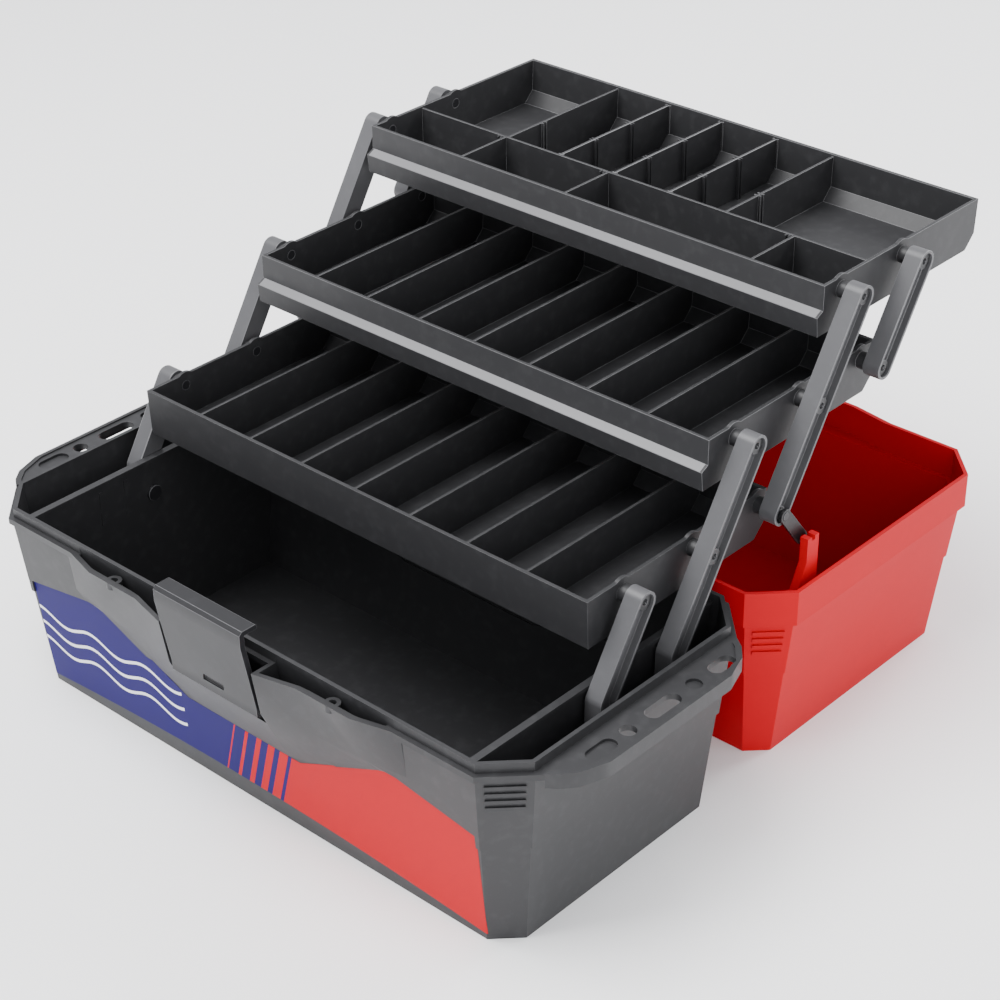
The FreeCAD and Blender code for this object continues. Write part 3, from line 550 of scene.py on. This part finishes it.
@dataclass
class RepeatTrees:
    """The node trees that repeat small moulded details, each built once."""

    trees: dict[str, bpy.types.NodeTree] = field(default_factory=dict)
    prong_sides: int = 10
    prong_tip_share: float = 0.7

    def start_tree(
        self, name: str, inputs: Sequence[tuple[str, str]]
    ) -> tuple[bpy.types.NodeTree, bpy.types.Node, bpy.types.Node]:
        """Starts a geometry tree with named inputs and one geometry output.

        Args:
            name: the tree's name.
            inputs: each input's name and socket type.

        Returns:
            The tree, its input node and its output node.
        """
        tree = bpy.data.node_groups.new(name, "GeometryNodeTree")
        tree.interface.new_socket("Geometry", in_out="INPUT", socket_type="NodeSocketGeometry")
        for label, kind in inputs:
            tree.interface.new_socket(label, in_out="INPUT", socket_type=kind)
        tree.interface.new_socket("Geometry", in_out="OUTPUT", socket_type="NodeSocketGeometry")
        self.trees[name] = tree
        return tree, add_node(tree, "NodeGroupInput"), add_node(tree, "NodeGroupOutput")

    def finish_tree(self, tree: bpy.types.NodeTree, start: Any, instances: Any, end: Any) -> None:
        """Realizes the instances and gives them their finish."""
        real = add_node(tree, "GeometryNodeRealizeInstances")
        dressed = add_node(tree, "GeometryNodeSetMaterial")
        link(tree, instances, real.inputs["Geometry"])
        link(tree, real.outputs["Geometry"], dressed.inputs["Geometry"])
        link(tree, start.outputs["Finish"], dressed.inputs["Material"])
        link(tree, dressed.outputs["Geometry"], end.inputs["Geometry"])

    def rib_places(self) -> bpy.types.NodeTree:
        """A rib of one size at every point of the piece's own mesh.

        Returns:
            The geometry tree, built at the first call.
        """
        if "rib_places" in self.trees:
            return self.trees["rib_places"]
        tree, start, end = self.start_tree(
            "rib_places", [("Rib Size", "NodeSocketVector"), ("Finish", "NodeSocketMaterial")]
        )
        rib = add_node(tree, "GeometryNodeMeshCube")
        placed = add_node(tree, "GeometryNodeInstanceOnPoints")
        link(tree, start.outputs["Rib Size"], rib.inputs["Size"])
        link(tree, start.outputs["Geometry"], placed.inputs["Points"])
        link(tree, rib.outputs["Mesh"], placed.inputs["Instance"])
        self.finish_tree(tree, start, placed.outputs["Instances"], end)
        return tree

    def snap_prongs(self) -> bpy.types.NodeTree:
        """A ring of prongs, square to X, at every point of the piece's own mesh.

        Returns:
            The geometry tree, built at the first call.
        """
        if "snap_prongs" in self.trees:
            return self.trees["snap_prongs"]
        tree, start, end = self.start_tree(
            "snap_prongs",
            [
                ("Prong Count", "NodeSocketInt"),
                ("Ring Radius", "NodeSocketFloat"),
                ("Prong Radius", "NodeSocketFloat"),
                ("Prong Length", "NodeSocketFloat"),
                ("Finish", "NodeSocketMaterial"),
            ],
        )
        ring = add_node(tree, "GeometryNodeMeshCircle")
        prong = add_node(tree, "GeometryNodeMeshCone")
        prong.inputs["Vertices"].default_value = self.prong_sides
        shrink = add_node(tree, "ShaderNodeMath", operation="MULTIPLY")
        shrink.inputs[1].default_value = self.prong_tip_share
        around = add_node(tree, "GeometryNodeInstanceOnPoints")
        turned = add_node(tree, "GeometryNodeTransform")
        turned.inputs["Rotation"].default_value = (0.0, math.pi / 2, 0.0)
        placed = add_node(tree, "GeometryNodeInstanceOnPoints")
        link(tree, start.outputs["Prong Count"], ring.inputs["Vertices"])
        link(tree, start.outputs["Ring Radius"], ring.inputs["Radius"])
        link(tree, start.outputs["Prong Radius"], prong.inputs["Radius Bottom"])
        link(tree, start.outputs["Prong Radius"], shrink.inputs[0])
        link(tree, shrink.outputs[0], prong.inputs["Radius Top"])
        link(tree, start.outputs["Prong Length"], prong.inputs["Depth"])
        link(tree, ring.outputs["Mesh"], around.inputs["Points"])
        link(tree, prong.outputs["Mesh"], around.inputs["Instance"])
        link(tree, around.outputs["Instances"], turned.inputs["Geometry"])
        link(tree, start.outputs["Geometry"], placed.inputs["Points"])
        link(tree, turned.outputs["Geometry"], placed.inputs["Instance"])
        self.finish_tree(tree, start, placed.outputs["Instances"], end)
        return tree

    def grow(
        self,
        name: str,
        tree: bpy.types.NodeTree,
        points: Sequence[Vector],
        values: dict[str, Any],
    ) -> bpy.types.Object:
        """Runs a tree on a set of points and keeps the result as a plain mesh.

        Args:
            name: the new piece's name.
            tree: the geometry tree.
            points: where its details go.
            values: the tree's inputs, by name.

        Returns:
            The new piece, at the origin, with its place in its mesh.
        """
        mesh = bpy.data.meshes.new(name)
        mesh.from_pydata([tuple(point) for point in points], [], [])
        piece = bpy.data.objects.new(name, mesh)
        bpy.context.scene.collection.objects.link(piece)
        modifier = piece.modifiers.new("repeat", "NODES")
        modifier.node_group = tree
        for item in tree.interface.items_tree:
            if item.item_type == "SOCKET" and item.in_out == "INPUT" and item.name in values:
                modifier[item.identifier] = values[item.name]
        graph = bpy.context.evaluated_depsgraph_get()
        made = bpy.data.meshes.new_from_object(piece.evaluated_get(graph))
        piece.modifiers.clear()
        piece.data = made
        LOG.info("%s: %d faces", name, len(made.polygons))
        return piece


@dataclass
class Moulding:
    """One frame node shown as a rounded moulded piece in its own finish."""

    node: str
    finish: Moulded
    slot: str
    edge: EdgeRound = EdgeRound.FINE
    split_rings: bool = False

    def build(self, library: ShaderLibrary) -> bpy.types.Object:
        """Makes the rounded piece, dresses it and lets it stand for its node.

        Args:
            library: the shader groups its finish is built from.

        Returns:
            The new piece.
        """
        name = self.node + "_moulding"
        body = bpy.data.objects[self.node]["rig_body"]
        faces, edges = self.finish.material(library), self.finish.edge_highlight_material(library)
        piece = rounded_copy(self.node, name, self.edge, faces, edges, split_rings=self.split_rings)
        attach(piece, body)
        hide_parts(self.node)
        LOG.info("%s: %d faces", name, len(piece.data.polygons))
        return piece


@dataclass
class Tub:
    """The base: its shell and its printed label."""

    shell: Moulding = field(
        default_factory=lambda: Moulding("base_shell", TUB_PLASTIC, "tub_plastic", EdgeRound.FINE)
    )

    def build(self, library: ShaderLibrary) -> None:
        """Builds the tub's pieces."""
        self.shell.build(library)
        label = bpy.data.objects["front_label"]
        label.data.materials.clear()
        label.data.materials.append(LabelPrint().material(library))


@dataclass
class Lid:
    """The red lid and its folded handle."""

    def build(self, library: ShaderLibrary) -> None:
        """Builds the lid's pieces."""
        shell = Moulding("lid_shell", LID_PLASTIC, "lid_plastic", EdgeRound.SOFT, split_rings=True)
        shell.build(library)
        Moulding("carry_handle", LATCH_PLASTIC, "handle_plastic", EdgeRound.FULL).build(library)


@dataclass
class TrayStack:
    """The three trays with their dividers, pull ledges and divider guides; the ledges carry a
    lighter skin as painted highlight.
    """

    trays: tuple[str, ...] = ("lower_tray", "middle_tray", "upper_tray")
    divider_count: int = 3
    half_length: float = 165.8 * MM
    ledge_drop: float = 14.6 * MM
    ledge_reach: float = 5.0 * MM
    ledge_fall: float = 2.4 * MM
    ledge_proud: float = 0.15 * MM
    ledge_margin: float = 1.5 * MM
    ear_rise: float = 1.5 * MM
    guide_thickness: float = 1.0 * MM
    guide_depth: float = 1.8 * MM
    guide_gap: float = 2.2 * MM
    guide_top: float = 1.4 * MM
    guide_shares: tuple[float, ...] = (0.3, 0.62)
    floor_thickness: float = 1.8 * MM
    row_depth: float = 42.3 * MM
    wall_shares: tuple[float, ...] = (-0.576, -0.0965, 0.697)

    def ledge(self, tray: str, library: ShaderLibrary) -> bpy.types.Object:
        """Makes a lighter skin on one tray's pull ledge, a painted highlight where the sloped band
        catches the light.

        Args:
            tray: the tray's node.
            library: the shader groups for its finish.

        Returns:
            The strip, riding with its tray.
        """
        low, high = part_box(tray)
        half = self.half_length - self.ledge_margin
        rim = high[2] - self.ear_rise
        front = low[1] + self.ledge_reach
        lift = self.ledge_proud
        profile = (
            (front + lift, rim - self.ledge_drop + lift * 2),
            (front - self.ledge_reach + lift, rim - self.ledge_drop - self.ledge_fall + lift),
            (front - self.ledge_reach + lift, rim - self.ledge_drop - self.ledge_fall - lift),
            (front + lift, rim - self.ledge_drop - lift),
        )
        points = [(side * half, y, z) for side in (-1, 1) for y, z in profile]
        faces = [(0, 1, 2, 3), (7, 6, 5, 4)]
        for i in range(len(profile)):
            j = (i + 1) % len(profile)
            faces.append((j, i, i + 4, j + 4))
        mesh = bpy.data.meshes.new(tray + "_ledge")
        mesh.from_pydata(points, [], faces)
        piece = bpy.data.objects.new(tray + "_pull_ledge", mesh)
        bpy.context.scene.collection.objects.link(piece)
        # the strip's lighter finish is painted highlight
        mesh.materials.append(LEDGE_HIGHLIGHT_PLASTIC.material(library))
        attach(piece, bpy.data.objects[tray]["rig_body"])
        return piece

    def divider_guides(self, library: ShaderLibrary, repeats: RepeatTrees) -> None:
        """Grows the rib pairs that guide cross dividers in the upper tray.

        Args:
            library: the shader groups for their finish.
            repeats: the trees that repeat the ribs.
        """
        low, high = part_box(self.trays[-1])
        rim = high[2] - self.ear_rise
        top = rim - self.guide_top
        bottom = low[2] + self.floor_thickness
        level = (top + bottom) / 2
        row = low[1] + self.ledge_reach + self.row_depth
        back = high[1]
        points = []
        for index in range(self.divider_count):
            left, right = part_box("upper_divider_%d" % (index + 1))
            for share in self.guide_shares:
                y = row + share * (back - row)
                for side in (-1, 1):
                    for x, away in ((left[0], -1), (right[0], 1)):
                        place = x + away * self.guide_depth / 2
                        points.append(Vector((place, y + side * self.guide_gap / 2, level)))
        size = Vector((self.guide_depth, self.guide_thickness, top - bottom))
        finish = DIVIDER_PLASTIC.material(library)
        values = {"Rib Size": size, "Finish": finish}
        piece = repeats.grow("divider_guides", repeats.rib_places(), points, values)
        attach(piece, bpy.data.objects[self.trays[-1]]["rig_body"])
        points = []
        for share in self.wall_shares:
            x = share * self.half_length
            for away in (-1, 1):
                place = x - self.guide_gap - (away + 1) * self.guide_gap / 2
                y = row - self.guide_depth / 2 - self.guide_gap / 2
                points.append(Vector((place, y, level)))
        size = Vector((self.guide_thickness, self.guide_depth, top - bottom))
        values = {"Rib Size": size, "Finish": finish}
        piece = repeats.grow("front_row_guides", repeats.rib_places(), points, values)
        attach(piece, bpy.data.objects[self.trays[-1]]["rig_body"])

    def build(self, library: ShaderLibrary, repeats: RepeatTrees) -> None:
        """Builds the trays, the loose dividers, the ledges' painted-highlight skins and the guides.
        """
        for tray in self.trays[1:]:
            self.ledge(tray, library)
        self.divider_guides(library, repeats)
        for tray in self.trays:
            Moulding(tray, TRAY_PLASTIC, "tray_plastic", EdgeRound.FINE).build(library)
        for index in range(self.divider_count):
            node = "upper_divider_%d" % (index + 1)
            Moulding(node, DIVIDER_PLASTIC, "divider_plastic", EdgeRound.FINE).build(library)


@dataclass
class Linkage:
    """The arms, the lid links and every pivot pin."""

    arm_letters: str = "abcd"
    sides: tuple[str, ...] = ("right", "left")
    prong_count: int = 3
    prong_ring: float = 0.85 * MM
    prong_radius: float = 0.5 * MM
    prong_length: float = 1.6 * MM
    studded: str = "lower_pin_3"

    def prongs(self, library: ShaderLibrary, repeats: RepeatTrees, pins: Sequence[str]) -> None:
        """Grows the snap prongs in the hollow heads of the pins, one piece a body.

        Args:
            library: the shader groups for their finish.
            repeats: the trees that repeat the prongs.
            pins: the nodes of the pivot pins.
        """
        places: dict[str, list[Vector]] = {}
        for pin in pins:
            if pin.startswith(self.studded):
                continue
            low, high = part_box(pin)
            out = high[0] if high[0] > 0 else low[0]
            inward = -self.prong_length / 2 if out > 0 else self.prong_length / 2
            middle = Vector((out + inward, (low[1] + high[1]) / 2, (low[2] + high[2]) / 2))
            places.setdefault(bpy.data.objects[pin]["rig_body"], []).append(middle)
        for body, points in sorted(places.items()):
            values = {
                "Prong Count": self.prong_count,
                "Ring Radius": self.prong_ring,
                "Prong Radius": self.prong_radius,
                "Prong Length": self.prong_length,
                "Finish": ARM_LIT_PLASTIC.material(library),
            }
            piece = repeats.grow(body + "_snap_prongs", repeats.snap_prongs(), points, values)
            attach(piece, body)

    def build(self, library: ShaderLibrary, repeats: RepeatTrees, nodes: Sequence[str]) -> None:
        """Builds the arms and links, and dresses the pins.

        Args:
            library: the shader groups for the finishes.
            repeats: the trees that repeat the prongs.
            nodes: the names of all frame nodes.
        """
        pins = [node for node in nodes if "_pin_" in node and not node.startswith("hinge")]
        self.prongs(library, repeats, pins)
        for side in self.sides:
            for letter in self.arm_letters:
                name = "arm_%s_%s" % (letter, side)
                Moulding(name, ARM_LIT_PLASTIC, "arm_plastic", EdgeRound.SOFT).build(library)
            link_name = "lid_link_" + side
            Moulding(link_name, LINK_PLASTIC, "link_plastic", EdgeRound.FINE).build(library)
        for node in pins:
            Moulding(node, PIN_PLASTIC, "pin_plastic", EdgeRound.FINE).build(library)


@dataclass
class Fastening:
    """The latch, its pin and the two hinge pins."""

    def build(self, library: ShaderLibrary) -> None:
        """Builds the latch and the steel pins."""
        Moulding("front_latch", LATCH_PLASTIC, "latch_plastic", EdgeRound.SOFT).build(library)
        for node in ("latch_pin", "hinge_pin_right", "hinge_pin_left"):
            Moulding(node, HINGE_STEEL, "hinge_steel", EdgeRound.CRISP).build(library)


@dataclass
class Studio:
    """The pale floor, the soft lights and the camera at the photograph's angle."""

    camera_place: Vector = field(default_factory=lambda: Vector((0.7936, -0.7482, 0.8136)))
    camera_right: Vector = field(default_factory=lambda: Vector((0.73767, 0.67503, -0.01304)))
    camera_up: Vector = field(default_factory=lambda: Vector((-0.35083, 0.39974, 0.84683)))
    focal_mm: float = 85.54
    sensor_mm: float = 36.0
    shift_right: float = 0.0118
    shift_up: float = 0.0334
    floor_size: float = 12.0
    floor_drop: float = 0.2 * MM
    floor_tone: Colour = (0.93, 0.93, 0.935)
    floor_roughness: float = 0.9
    floor_specular: float = 0.1
    sky_tone: Colour = (0.95, 0.96, 1.0)
    sky_strength: float = 1.15
    middle: Vector = field(default_factory=lambda: Vector((0.0, 0.1, 0.12)))
    lamps: tuple[tuple[str, tuple[float, float, float], float, float], ...] = (
        ("key_light", (-0.5, -0.5, 1.9), 1.4, 80.0),
        ("fill_light", (1.8, -1.0, 1.0), 1.6, 24.0),
        ("rim_light", (0.4, 1.9, 1.3), 1.2, 40.0),
    )

    def floor(self) -> None:
        """Lays the floor just under the box."""
        place = (0.0, 0.0, -self.floor_drop)
        bpy.ops.mesh.primitive_plane_add(size=self.floor_size, location=place)
        floor = bpy.context.object
        floor.name = "studio_floor"
        made = bpy.data.materials.new("studio_floor_paper")
        made.use_nodes = True
        shader = made.node_tree.nodes["Principled BSDF"]
        shader.inputs["Base Color"].default_value = (*self.floor_tone, 1.0)
        shader.inputs["Roughness"].default_value = self.floor_roughness
        shader.inputs["Specular IOR Level"].default_value = self.floor_specular
        floor.data.materials.append(made)

    def light(self, name: str, place: Vector, target: Vector, size: float, power: float) -> None:
        """Adds one soft square light.

        Args:
            name: the light's name.
            place: where it hangs.
            target: the point it faces.
            size: the length of its side.
            power: its power in watts.
        """
        data = bpy.data.lights.new(name, "AREA")
        data.size = size
        data.energy = power
        lamp = bpy.data.objects.new(name, data)
        lamp.location = place
        lamp.rotation_euler = (target - place).to_track_quat("-Z", "Y").to_euler()
        bpy.context.scene.collection.objects.link(lamp)

    def lights(self) -> None:
        """Hangs the key, fill and rim lights and sets the sky."""
        for name, place, size, power in self.lamps:
            self.light(name, Vector(place), self.middle, size, power)
        world = bpy.data.worlds.new("studio_sky")
        world.use_nodes = True
        sky = world.node_tree.nodes["Background"]
        sky.inputs["Color"].default_value = (*self.sky_tone, 1.0)
        sky.inputs["Strength"].default_value = self.sky_strength
        bpy.context.scene.world = world

    def camera(self) -> None:
        """Sets the camera where the photograph was taken from."""
        data = bpy.data.cameras.new("photo_camera")
        data.lens = self.focal_mm
        data.sensor_width = self.sensor_mm
        data.shift_x = self.shift_right
        data.shift_y = self.shift_up
        back = self.camera_right.cross(self.camera_up).normalized()
        turn = Matrix((self.camera_right, self.camera_up, back)).transposed()
        camera = bpy.data.objects.new("photo_camera", data)
        camera.matrix_world = Matrix.Translation(self.camera_place) @ turn.to_4x4()
        bpy.context.scene.collection.objects.link(camera)
        bpy.context.scene.camera = camera

    def build(self) -> None:
        """Builds the floor, the lights and the camera."""
        self.floor()
        self.lights()
        self.camera()


def main() -> None:
    """Builds every sub-assembly in order round the loaded frame."""
    logging.basicConfig(level=logging.INFO, format="%(name)s: %(message)s")
    bpy.ops.object.select_all(action="SELECT")
    bpy.ops.object.delete()
    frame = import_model()
    library = ShaderLibrary()
    Tub().build(library)
    Lid().build(library)
    repeats = RepeatTrees()
    TrayStack().build(library, repeats)
    Linkage().build(library, repeats, sorted(frame["nodes"]))
    Fastening().build(library)
    Studio().build()


if __name__ == "__main__":
    main()
